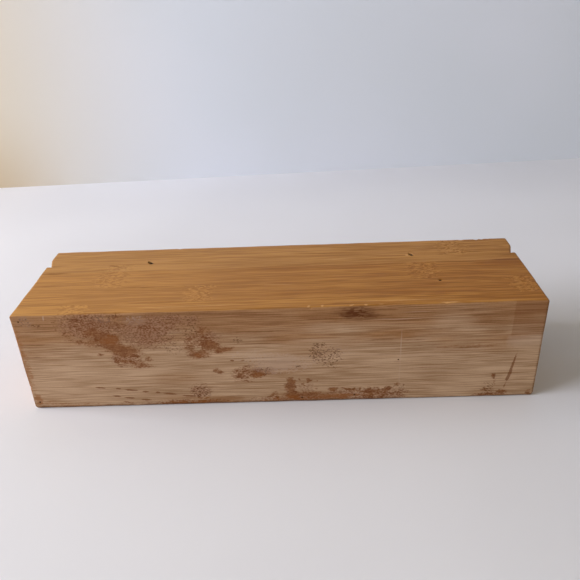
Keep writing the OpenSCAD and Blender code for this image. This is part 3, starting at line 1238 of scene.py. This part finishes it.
FLOOR_DARK = rgb(214, 215, 223)
FLOOR_LIGHT = rgb(220, 221, 229)
WALL_DARK = rgb(219, 225, 236)
WALL_LIGHT = rgb(224, 229, 241)
WALL_WARM_SHADE = rgb(205, 188, 155)
WALL_CORNER_SHADE = rgb(170, 140, 95)
PAPER_GRAIN = (260.0, 260.0, 260.0)
PAPER_ROUGHNESS = 0.8
PAPER_SHEEN = 0.2
# The wall turns creamier to the left, and amber in its low left corner, as painted warm shade: from and to
# in millimetres
CREAM_X = (-60.0, -420.0)
AMBER_X = (-215.0, -340.0)
AMBER_UP = (-470.0, -575.0)
AMBER_COVER = 0.5
FLOOR_SIZE = 6.0
WALL_AWAY = 0.35
WALL_TURN = math.radians(2.8)
WALL_SIZE = (5.0, 1.2)


def stage_sheet(name, size, material):
    mesh = bpy.data.meshes.new(name)
    wide, high = size[0] / 2, size[1] / 2
    corners = [(-wide, -high, 0), (wide, -high, 0), (wide, high, 0), (-wide, high, 0)]
    mesh.from_pydata(corners, [], [(0, 1, 2, 3)])
    mesh.materials.append(material)
    made = bpy.data.objects.new(name, mesh)
    bpy.context.scene.collection.objects.link(made)
    return made


def paper_material(name, dark, light, has_warm_shade=False):
    """Matt paper with a faint cloud. With painted warm shade, it is creamier to the left and amber low on
    the left.
    """
    tree = Tree(bpy.data.materials.new(name))
    place = tree.place()
    cloud = tree.noise(place, PAPER_GRAIN, 1.0, 2.0)
    colour = tree.mix(dark, light, tree.ramp(cloud, 0.35, 0.65))
    if has_warm_shade:
        x, up = tree.split(place)[:2]
        colour = tree.mix(colour, WALL_WARM_SHADE, tree.ramp(x, *CREAM_X))
        corner = tree.ramp(x, *AMBER_X) * tree.ramp(up, *AMBER_UP)
        colour = tree.mix(colour, WALL_CORNER_SHADE, corner * AMBER_COVER)
    tree.shader.inputs["Specular IOR Level"].default_value = PAPER_SHEEN
    return tree.finish(colour, PAPER_ROUGHNESS)


floor_paper = paper_material("floor_finish", FLOOR_DARK, FLOOR_LIGHT)
wall_paper = paper_material("wall_finish", WALL_DARK, WALL_LIGHT, has_warm_shade=True)
floor = stage_sheet("floor", (FLOOR_SIZE, FLOOR_SIZE), floor_paper)
floor.location.z = cad_low.z
wall = stage_sheet("wall", WALL_SIZE, wall_paper)
wall.rotation_euler = (math.pi / 2, 0, WALL_TURN)
wall.location = (0, WALL_AWAY, cad_low.z + WALL_SIZE[1] / 2)


# Light

WINDOW_PLACE = (-1.53, -0.227, 0.703)
WINDOW_TARGET = (0.0, 0.0, 0.0)
WINDOW_SIZE = (1.3, 0.79)
WINDOW_POWER = 46.3
WINDOW_COLOUR = (0.975, 0.985, 1.05)
# A low, weak light from the far side, so that the right end isn't lost in the dark
FILL_FROM = (1.0, 0.12, 0.06)
FILL_STRENGTH = 0.9
FILL_SPREAD = math.radians(12)
FILL_COLOUR = (1.0, 0.92, 0.8)
# The room: warm overhead and plain grey low down, where it shows behind the block
ROOM_COLOUR = (1.0, 0.84, 0.5, 1.0)
ROOM_STRENGTH = 0.28
HORIZON_COLOUR = (1.2, 1.16, 1.1, 1.0)
HORIZON_RISE = (0.16, 0.34)


def place_light(light, place, source):
    """Puts the light at this place, and turns it so that it shines away from its source."""
    made = bpy.data.objects.new(light.name, light)
    made.location = place
    made.rotation_euler = Vector(source).to_track_quat("Z", "Y").to_euler()
    bpy.context.scene.collection.objects.link(made)


def build_room():
    tree = Tree(bpy.data.worlds.new("room"), "Background")
    rise = tree.split(tree.node("TexCoord", {}, output="Generated"))[2]
    colour = tree.mix(HORIZON_COLOUR, ROOM_COLOUR, tree.ramp(rise, *HORIZON_RISE))
    tree.feed(tree.shader.inputs["Color"], colour)
    tree.shader.inputs["Strength"].default_value = ROOM_STRENGTH
    bpy.context.scene.world = tree.owner


window = bpy.data.lights.new("window", "AREA")
window.shape = "RECTANGLE"
window.size, window.size_y = WINDOW_SIZE
window.energy = WINDOW_POWER
window.color = WINDOW_COLOUR
place_light(window, WINDOW_PLACE, Vector(WINDOW_PLACE) - Vector(WINDOW_TARGET))

fill = bpy.data.lights.new("fill", "SUN")
fill.energy = FILL_STRENGTH
fill.angle = FILL_SPREAD
fill.color = FILL_COLOUR
place_light(fill, (0.0, 0.0, 0.0), FILL_FROM)

build_room()
bpy.context.scene.view_settings.view_transform = "Standard"


# Camera, solved on the block's six visible corners

CAMERA_PLACE = Vector((0.0147, -0.30496, 0.21696))
CAMERA_FORWARD = Vector((-0.02476, 0.87512, -0.48327))
CAMERA_UP = Vector((0.0313, 0.48386, 0.87458))
LENS = 38.8232
SENSOR = 36.0

lens = bpy.data.cameras.new("camera")
lens.lens = LENS
lens.sensor_width = SENSOR
camera = bpy.data.objects.new("camera", lens)
forward = CAMERA_FORWARD.normalized()
right = forward.cross(CAMERA_UP).normalized()
up = right.cross(forward)
turned = Matrix((right, up, -forward)).transposed().to_4x4()
camera.matrix_world = Matrix.Translation(CAMERA_PLACE) @ turned
bpy.context.scene.collection.objects.link(camera)
bpy.context.scene.camera = camera
